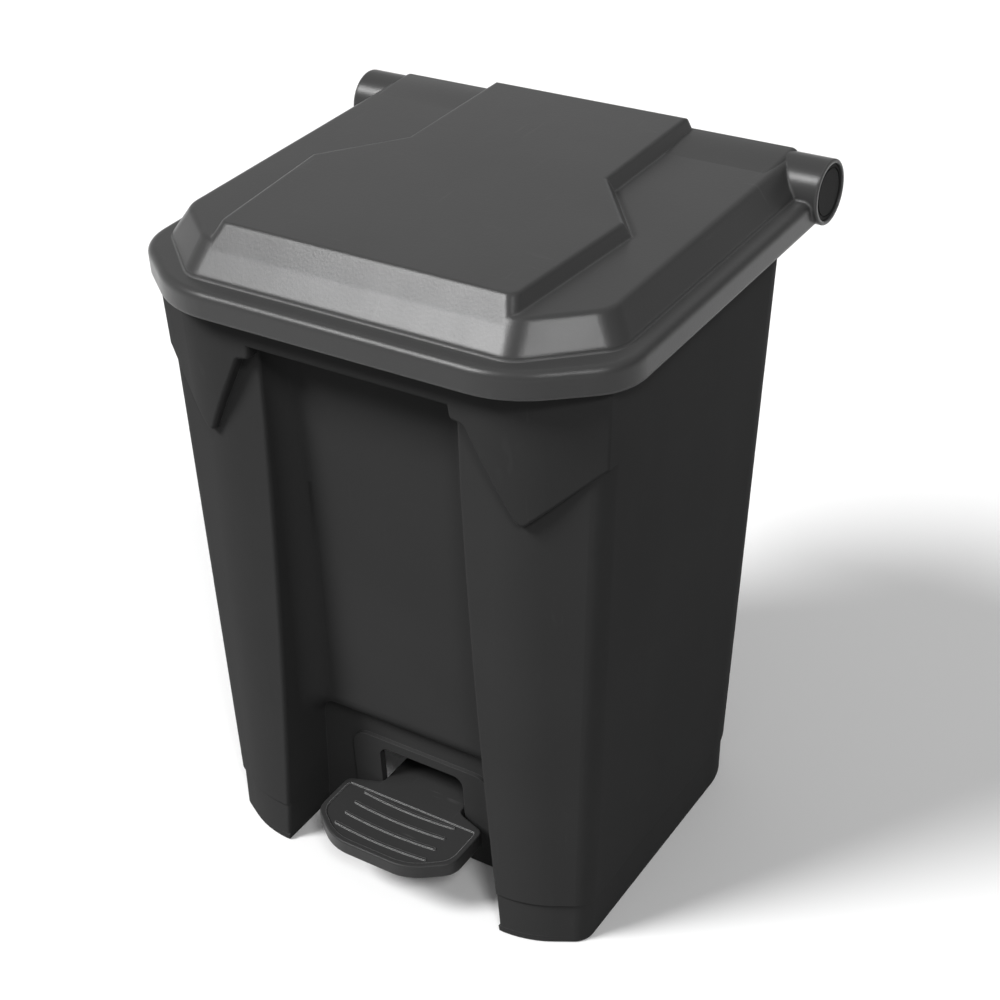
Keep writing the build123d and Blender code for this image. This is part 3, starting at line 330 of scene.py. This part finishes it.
@dataclass(frozen=True)
class FineScuffs:
    """Fine scratches and rubbed spots: the thin crests of stretched noises, kept where a cloud is high."""

    scratches: tuple[Scratch, ...] = (
        Scratch((0.3, 0.2, 0.5), (260.0, 14.0, 30.0)),
        Scratch((0.1, 0.7, 1.9), (18.0, 240.0, 24.0)),
    )
    scratch_low: float = 0.66
    scratch_high: float = 0.74
    cloud_scale: float = 22.0
    cloud_low: float = 0.45
    cloud_high: float = 0.7
    detail: float = 2.0

    def group(self) -> bpy.types.NodeTree:
        """Build the group.

        Returns:
            The group, which takes a Vector and an Amount and gives a Mask.
        """
        tree, given, out = start_group(
            "fine_scuffs",
            {"Vector": Socket.VECTOR, "Amount": Socket.FLOAT},
            {"Mask": Socket.FLOAT},
        )
        place = given.outputs["Vector"]
        marks = []
        for scratch in self.scratches:
            noise = tree.noise(tree.stretch(place, scratch.stretch, scratch.turn), 1.0, self.detail)
            marks.append(tree.ramp(noise, self.scratch_low, self.scratch_high))
        cloud = tree.noise(place, self.cloud_scale, self.detail)
        where = tree.ramp(cloud, self.cloud_low, self.cloud_high)
        both = tree.math("MULTIPLY", tree.math("MAXIMUM", *marks), where)
        tree.feed(out.inputs["Mask"], tree.math("MULTIPLY", both, given.outputs["Amount"]))
        return tree.tree


@dataclass(frozen=True)
class EdgeHighlightAndWear:
    """Sharp edges, where plastics get a painted highlight and steel a lighter tone: how far a rounded
    normal leans from the true one, and the rounded normal itself.

    Mask rises from 0 to 1 as the two normals' dot product falls from flat to sharp.
    """

    samples: int = 6
    flat: float = 0.99
    sharp: float = 0.86

    def group(self) -> bpy.types.NodeTree:
        """Build the group.

        Returns:
            The group, which takes a Radius and gives a Mask and a Normal.
        """
        tree, given, out = start_group(
            "edge_highlight_and_wear",
            {"Radius": Socket.FLOAT},
            {"Mask": Socket.FLOAT, "Normal": Socket.VECTOR},
        )
        bevel = tree.add("ShaderNodeBevel", {"samples": self.samples}, Radius=given.outputs["Radius"])
        plain = tree.add("ShaderNodeNewGeometry")
        lean = tree.dot(bevel.outputs[0], plain.outputs["Normal"])
        tree.feed(out.inputs["Mask"], tree.ramp(lean, self.flat, self.sharp))
        tree.feed(out.inputs["Normal"], bevel.outputs[0])
        return tree.tree


@dataclass(frozen=True)
class Effects:
    """The shared effect groups, built once and placed in each material."""

    grain: bpy.types.NodeTree = field(default_factory=MouldGrain().group)
    flow: bpy.types.NodeTree = field(default_factory=MeltFlow().group)
    scuffs: bpy.types.NodeTree = field(default_factory=FineScuffs().group)
    edges: bpy.types.NodeTree = field(default_factory=EdgeHighlightAndWear().group)

    @staticmethod
    def place(tree: Tree, group: bpy.types.NodeTree, **inputs: object) -> bpy.types.Node:
        """Put a group into a material and feed its inputs.

        Args:
            tree: The material's tree.
            group: The group.
            inputs: The group's inputs by name.

        Returns:
            The group's node.
        """
        return tree.add("ShaderNodeGroup", {"node_tree": group}, **inputs)


# ---------------------------------------------------------------- finishes
def grey(level: float, warmth: float = 0.0) -> Colour:
    """A grey in linear light.

    Args:
        level: How light it is, from 0 to 1.
        warmth: The share by which red stands above it and blue below it.

    Returns:
        The colour.
    """
    return (level * (1 + warmth), level, level * (1 - warmth), 1.0)


def tinted(colour: Colour, share: float) -> Colour:
    """A darker or lighter tone of a colour.

    Args:
        colour: The colour.
        share: What its levels are multiplied by.

    Returns:
        The new tone, at most white.
    """
    red, green, blue = (min(value * share, 1.0) for value in colour[:3])
    return (red, green, blue, 1.0)


def start_material(name: str) -> tuple[bpy.types.Material, Tree, bpy.types.Node, bpy.types.NodeSocket]:
    """Start a material on Blender's main shader.

    Args:
        name: The material's name.

    Returns:
        The material, its tree, its shader, and the place on the object that its textures read.
    """
    material = bpy.data.materials.new(name)
    material.use_nodes = True
    tree = Tree(material.node_tree)
    shader = material.node_tree.nodes["Principled BSDF"]
    return material, tree, shader, tree.add("ShaderNodeTexCoord").outputs["Object"]


@dataclass(frozen=True)
class MouldedPlastic:
    """A moulded plastic with fine grain, flow marks, scuffs and a painted highlight along its sharp edges.

    Tones are shares of the colour, and dullings are what is added to the roughness.
    """

    name: str
    colour: Colour
    roughness: float
    specular: float
    grain_pitch: float = 0.0011
    grain_depth: float = 0.00004
    edge_radius: float = 0.0008
    edge_tone: float = 1.9
    edge_share: float = 0.55
    scuffing: float = 0.10
    dark_tone: float = 0.97
    light_tone: float = 1.03
    streak_dulling: float = 0.02
    scuff_dulling: float = 0.05

    def build(self, effects: Effects) -> bpy.types.Material:
        """Make the material.

        Args:
            effects: The shared effect groups.

        Returns:
            The new material.
        """
        material, tree, shader, place = start_material(self.name)
        grain = effects.place(tree, effects.grain, Vector=place, Scale=1.0 / self.grain_pitch)
        flow = effects.place(tree, effects.flow, Vector=place)
        scuffs = effects.place(tree, effects.scuffs, Vector=place, Amount=self.scuffing)
        edges = effects.place(tree, effects.edges, Radius=self.edge_radius)
        dark, light = tinted(self.colour, self.dark_tone), tinted(self.colour, self.light_tone)
        # pale is the colour of the painted edge highlight, and also of the scuffs.
        pale = tinted(self.colour, self.edge_tone)
        tone = tree.blend(flow.outputs["Mask"], dark, light)
        # Painted highlight: the edge mask lightens sharp edges towards pale, standing in for the light they
        # catch.
        edge_highlighted = tree.blend(tree.math("MULTIPLY", edges.outputs["Mask"], self.edge_share), tone, pale)
        tree.feed(shader.inputs["Base Color"], tree.blend(scuffs.outputs["Mask"], edge_highlighted, pale))
        streaks = tree.math("MULTIPLY", flow.outputs["Streak"], self.streak_dulling)
        uneven = tree.math("SUBTRACT", tree.math("ADD", streaks, self.roughness), self.streak_dulling / 2)
        rubbing = tree.math("MULTIPLY", scuffs.outputs["Mask"], self.scuff_dulling)
        tree.feed(shader.inputs["Roughness"], tree.math("ADD", uneven, rubbing))
        tree.feed(shader.inputs["Specular IOR Level"], self.specular)
        bump = tree.add(
            "ShaderNodeBump",
            Strength=1.0,
            Distance=self.grain_depth,
            Height=grain.outputs["Height"],
            Normal=edges.outputs["Normal"],
        )
        tree.feed(shader.inputs["Normal"], bump.outputs[0])
        return material


@dataclass(frozen=True)
class SoftRubber:
    """A soft, dull rubber with dust in its grain."""

    name: str
    colour: Colour
    roughness: float = 0.8
    specular: float = 0.35
    grain_scale: float = 1600.0
    grain_depth: float = 0.00015
    dust_tone: float = 2.2
    dust_share: float = 0.4
    dust_dulling: float = 0.3

    def build(self, effects: Effects) -> bpy.types.Material:
        """Make the material.

        Args:
            effects: The shared effect groups.

        Returns:
            The new material.
        """
        material, tree, shader, place = start_material(self.name)
        grain = effects.place(tree, effects.grain, Vector=place, Scale=self.grain_scale)
        flow = effects.place(tree, effects.flow, Vector=place)
        dust = tree.math("MULTIPLY", flow.outputs["Mask"], self.dust_share)
        dusty = tinted(self.colour, self.dust_tone)
        tree.feed(shader.inputs["Base Color"], tree.blend(dust, self.colour, dusty))
        dulling = tree.math("MULTIPLY", dust, self.dust_dulling)
        tree.feed(shader.inputs["Roughness"], tree.math("ADD", dulling, self.roughness))
        tree.feed(shader.inputs["Specular IOR Level"], self.specular)
        bump = tree.add(
            "ShaderNodeBump", Strength=1.0, Distance=self.grain_depth, Height=grain.outputs["Height"]
        )
        tree.feed(shader.inputs["Normal"], bump.outputs[0])
        return material


@dataclass(frozen=True)
class DrawnSteel:
    """Steel with fine draw lines along one axis, dull spots and bright rubbed edges."""

    name: str
    colour: Colour
    roughness: float
    stretch: Triple
    dull_tone: float = 0.72
    bright_tone: float = 1.25
    edge_radius: float = 0.0004
    line_detail: float = 3.0
    line_dulling: float = 0.22
    line_depth: float = 0.00004
    line_strength: float = 0.5

    def build(self, effects: Effects) -> bpy.types.Material:
        """Make the material.

        Args:
            effects: The shared effect groups.

        Returns:
            The new material.
        """
        material, tree, shader, place = start_material(self.name)
        lines = tree.noise(tree.stretch(place, self.stretch), 1.0, self.line_detail)
        flow = effects.place(tree, effects.flow, Vector=place)
        edges = effects.place(tree, effects.edges, Radius=self.edge_radius)
        tone = tree.blend(flow.outputs["Mask"], tinted(self.colour, self.dull_tone), self.colour)
        bright = tinted(self.colour, self.bright_tone)
        tree.feed(shader.inputs["Base Color"], tree.blend(edges.outputs["Mask"], tone, bright))
        tree.feed(shader.inputs["Metallic"], 1.0)
        dulling = tree.math("MULTIPLY", lines, self.line_dulling)
        tree.feed(shader.inputs["Roughness"], tree.math("ADD", dulling, self.roughness))
        bump = tree.add(
            "ShaderNodeBump",
            Strength=self.line_strength,
            Distance=self.line_depth,
            Height=lines,
            Normal=edges.outputs["Normal"],
        )
        tree.feed(shader.inputs["Normal"], bump.outputs[0])
        return material


# Each moulded plastic's edge_tone and edge_share set its painted edge highlight; the lid and the pedal
# carry the strongest.
FINISHES: dict[Finish, MouldedPlastic | SoftRubber | DrawnSteel] = {
    Finish.BODY: MouldedPlastic("body_plastic_grain", grey(0.046), 0.64, 0.02),
    Finish.LID: MouldedPlastic(
        "lid_plastic_grain", grey(0.048), 0.30, 0.30, edge_radius=0.0035, edge_tone=3.4, edge_share=0.7
    ),
    Finish.CAP: MouldedPlastic("cap_plastic_grain", grey(0.016), 0.50, 0.03),
    Finish.PEDAL: MouldedPlastic(
        "pedal_plastic_grain", grey(0.036), 0.42, 0.20, edge_radius=0.0007, edge_tone=11.0, edge_share=1.0
    ),
    Finish.SEAL: SoftRubber("seal_rubber_soft", grey(0.018)),
    Finish.PAD: SoftRubber("pad_rubber_soft", grey(0.022)),
    Finish.NYLON: MouldedPlastic("nylon_natural", grey(0.52, 0.04), 0.42, 0.5, edge_tone=1.2, scuffing=0.2),
    Finish.STEEL: DrawnSteel("steel_drawn", grey(0.56), 0.22, (900.0, 60.0, 60.0)),
    Finish.PLATED: DrawnSteel("steel_zinc_plated", grey(0.50, 0.01), 0.32, (200.0, 200.0, 200.0)),
    Finish.SCREW: DrawnSteel("steel_screw_zinc", grey(0.46), 0.3, (400.0, 400.0, 400.0)),
}

# The deck's tail is one surface with the deck, so its own front edge gets no rounded shading and no painted
# edge highlight.
TAIL_FINISH = replace(FINISHES[Finish.LID], name="lid_plastic_tail", edge_radius=0.0002)


# ---------------------------------------------------------------- studio
@dataclass(frozen=True)
class Lamp:
    """A wide, distant lamp: the direction it shines from, its strength and its width in degrees."""

    name: str
    source: Triple
    strength: float
    width: float

    def hang(self) -> None:
        """Add the lamp to the scene."""
        lamp = bpy.data.lights.new(self.name, "SUN")
        lamp.energy = self.strength
        lamp.angle = np.radians(self.width)
        holder = bpy.data.objects.new(self.name, lamp)
        holder.rotation_euler = Vector(self.source).to_track_quat("Z", "Y").to_euler()
        bpy.context.scene.collection.objects.link(holder)


LAMPS = (
    Lamp("key_light", (-0.47, -0.48, 0.74), 2.8, 19.0),
    Lamp("side_light", (0.50, -0.45, 0.74), 0.9, 12.0),
    Lamp("rear_light", (-0.30, 0.76, 0.58), 0.12, 60.0),
)


@dataclass(frozen=True)
class Studio:
    """Camera, floor and soft light."""

    camera_at: Triple = (0.74846, -1.06620, 1.14000)
    camera_right: Triple = (0.84126, 0.53816, -0.05162)
    camera_up: Triple = (-0.26180, 0.48906, 0.83203)
    camera_back: Triple = (0.47301, -0.68645, 0.55232)
    lens: float = 70.22
    sensor_width: float = 36.0
    clip_end: float = 60.0
    floor_half: float = 8.0
    horizon: float = 0.60
    ceiling: float = 0.24
    ceiling_start: float = 0.02
    ceiling_end: float = 0.50
    floor_seen: Colour = (0.97, 0.97, 0.97, 1.0)
    floor_bounce: Colour = (0.12, 0.12, 0.12, 1.0)
    floor_lift: float = 0.02

    def build(self) -> None:
        """Make the camera, the lamps, the world and the floor."""
        self.place_camera()
        for lamp in LAMPS:
            lamp.hang()
        self.light_world()
        self.lay_floor()

    def place_camera(self) -> None:
        """Stand the camera in front of the pail's right side, above it."""
        camera = bpy.data.cameras.new("camera")
        camera.lens = self.lens
        camera.sensor_width = self.sensor_width
        camera.clip_end = self.clip_end
        eye = bpy.data.objects.new("camera", camera)
        axes = Matrix((self.camera_right, self.camera_up, self.camera_back)).transposed()
        eye.matrix_world = Matrix.Translation(self.camera_at) @ axes.to_4x4()
        bpy.context.scene.collection.objects.link(eye)
        bpy.context.scene.camera = eye

    @staticmethod
    def seen_directly(tree: Tree) -> bpy.types.NodeSocket:
        """Tell the rays that see the floor from those that only carry its light.

        Args:
            tree: The floor's material.

        Returns:
            1 for a ray from the camera, a reflection or a clear piece, else 0.
        """
        path = tree.add("ShaderNodeLightPath")
        direct = tree.math("MAXIMUM", path.outputs["Is Camera Ray"], path.outputs["Is Glossy Ray"])
        return tree.math("MAXIMUM", direct, path.outputs["Is Transmission Ray"])

    def light_world(self) -> None:
        """A pale horizon that dims evenly towards the ceiling."""
        world = bpy.data.worlds.new("studio")
        world.use_nodes = True
        bpy.context.scene.world = world
        tree = Tree(world.node_tree)
        even = world.node_tree.nodes["Background"]
        tree.feed(even.inputs["Color"], WHITE)
        place = tree.add("ShaderNodeTexCoord").outputs["Generated"]
        height = tree.add("ShaderNodeSeparateXYZ", Vector=place).outputs["Z"]
        level = tree.ramp(height, self.ceiling_start, self.ceiling_end, self.horizon, self.ceiling)
        tree.feed(even.inputs["Strength"], level)

    def floor_material(self) -> bpy.types.Material:
        """Make the floor's matt white, lifted where it is seen and dim where it only gives light.

        Returns:
            The new material.
        """
        material = bpy.data.materials.new("studio_floor")
        material.use_nodes = True
        nodes = material.node_tree.nodes
        nodes.remove(nodes["Principled BSDF"])
        tree = Tree(material.node_tree)
        seen = self.seen_directly(tree)
        matt = tree.add("ShaderNodeBsdfDiffuse", Color=tree.blend(seen, self.floor_bounce, self.floor_seen))
        glow = tree.math("MULTIPLY", seen, self.floor_lift)
        lift = tree.add("ShaderNodeEmission", Color=WHITE, Strength=glow)
        both = tree.add("ShaderNodeAddShader")
        tree.feed(both.inputs[0], matt.outputs[0])
        tree.feed(both.inputs[1], lift.outputs[0])
        tree.feed(nodes["Material Output"].inputs["Surface"], both.outputs[0])
        return material

    def lay_floor(self) -> None:
        """Lay a plain pale floor under the pail."""
        half = self.floor_half
        corners = [(-half, -half, 0.0), (half, -half, 0.0), (half, half, 0.0), (-half, half, 0.0)]
        mesh = bpy.data.meshes.new("floor")
        mesh.from_pydata(corners, [], [(0, 1, 2, 3)])
        mesh.materials.append(self.floor_material())
        floor = bpy.data.objects.new("floor", mesh)
        bpy.context.scene.collection.objects.link(floor)


# ---------------------------------------------------------------- dressing
@dataclass(frozen=True)
class Dressing:
    """Puts the finishes on the frame's nodes by their slots."""

    materials: dict[Finish, bpy.types.Material]

    def dress(self) -> None:
        """Give each node of the frame the material of its slot."""
        slots = {part["node"]: part["material_slot"] for part in frame["record"]["subparts"]}
        for name, node in frame["nodes"].items():
            material = self.materials[Finish(slots[name])]
            node.data.materials.clear()
            node.data.materials.append(material)
            log.info("%s: %s", name, material.name)


@dataclass(frozen=True)
class DeckTail:
    """The lid's deck where it runs on, nearly flat, over the hinge barrel.

    The top rises from the deck to just over the barrel's crest along a smooth step,
    z = start + (crest - start) * (3 t^2 - 2 t^3), with t from the front edge to the crest. Its rear
    edge and its two ends round down on quarter circles, the ends by the deck's own edge radius.
    """

    half: float = 0.1790
    ahead: float = 0.046
    behind: float = 0.0125
    rounding: float = 0.0035
    end_rounding: float = 0.0055
    lift: float = 0.00022
    depth: float = 0.006
    panel_rise: float = 0.0108
    barrel_radius: float = 0.025
    crest_rise: float = 0.0018
    sharp_angle: float = 50.0
    steps: int = 24
    corner_steps: int = 6

    def section(self, hinge_y: float, deck: float) -> np.ndarray:
        """Side view of the piece, from its front edge over the top to its underside.

        Args:
            hinge_y: Where the hinge axis lies.
            deck: Height of the deck.

        Returns:
            Points of the outline as rows of depth and height.
        """
        start, crest = deck - self.lift, deck + self.crest_rise + self.lift
        share = np.linspace(0.0, 1.0, self.steps + 1)
        top_y = hinge_y - self.ahead * (1 - share)
        top = np.stack([top_y, start + (crest - start) * (3 - 2 * share) * share**2], 1)
        turn = np.linspace(0.0, np.pi / 2, self.corner_steps + 1)
        corner_y = hinge_y + self.behind - self.rounding + self.rounding * np.sin(turn)
        corner = np.stack([corner_y, crest - self.rounding * (1 - np.cos(turn))], 1)
        under = [(hinge_y + self.behind, crest - self.depth), (hinge_y - self.ahead, start - self.depth)]
        return np.concatenate([top, corner, under])

    def stations(self) -> list[tuple[float, float]]:
        """Places along the hinge at which the outline is set.

        Returns:
            Each place and how far the outline has rounded down there, from -X to +X.
        """
        turn = np.linspace(0.0, np.pi / 2, self.corner_steps + 1)
        reach = self.half - self.end_rounding * (1 - np.sin(turn))
        drop = self.end_rounding * (1 - np.cos(turn))
        right = list(zip(reach, drop))
        return [(-across, fall) for across, fall in reversed(right)] + right

    @staticmethod
    def faces(count: int, rings: int) -> list[tuple[int, ...]]:
        """Join rings of points into a closed skin that faces outward.

        Args:
            count: Points in each ring.
            rings: How many rings there are, one after the other.

        Returns:
            Each face's points: the sides, then the two ends.
        """
        sides = []
        for here in range(0, (rings - 1) * count, count):
            there = here + count
            for i in range(count):
                j = (i + 1) % count
                sides.append((here + j, here + i, there + i, there + j))
        first_end = tuple(range(count))
        last_end = tuple(range(rings * count - 1, (rings - 1) * count - 1, -1))
        return [*sides, first_end, last_end]

    def build(self, material: bpy.types.Material) -> None:
        """Make the piece and fix it to the lid.

        Args:
            material: The lid's plastic.
        """
        _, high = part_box("lid_shell")
        section = self.section(high[1] - self.barrel_radius, high[2] - self.panel_rise)
        floor_line = section[-2:, 1].min() - self.lift
        rings = []
        for across, fall in self.stations():
            heights = np.maximum(section[:, 1] - fall, floor_line)
            rings.append(np.stack([np.full(len(section), across), section[:, 0], heights], 1))
        mesh = bpy.data.meshes.new("deck_tail")
        mesh.from_pydata(np.concatenate(rings).tolist(), [], self.faces(len(section), len(rings)))
        mesh.materials.append(material)
        for polygon in mesh.polygons:
            polygon.use_smooth = True
        mesh.set_sharp_from_angle(angle=np.radians(self.sharp_angle))
        piece = bpy.data.objects.new("deck_tail", mesh)
        bpy.context.scene.collection.objects.link(piece)
        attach(piece, "lid")


def main() -> None:
    """Build the studio and the finishes, and dress every piece."""
    logging.basicConfig(level=logging.INFO, format="%(name)s: %(message)s")
    bpy.context.scene.view_settings.view_transform = "Standard"
    Studio().build()
    effects = Effects()
    materials = {slot: finish.build(effects) for slot, finish in FINISHES.items()}
    Dressing(materials).dress()
    DeckTail().build(TAIL_FINISH.build(effects))


if __name__ == "__main__":
    main()
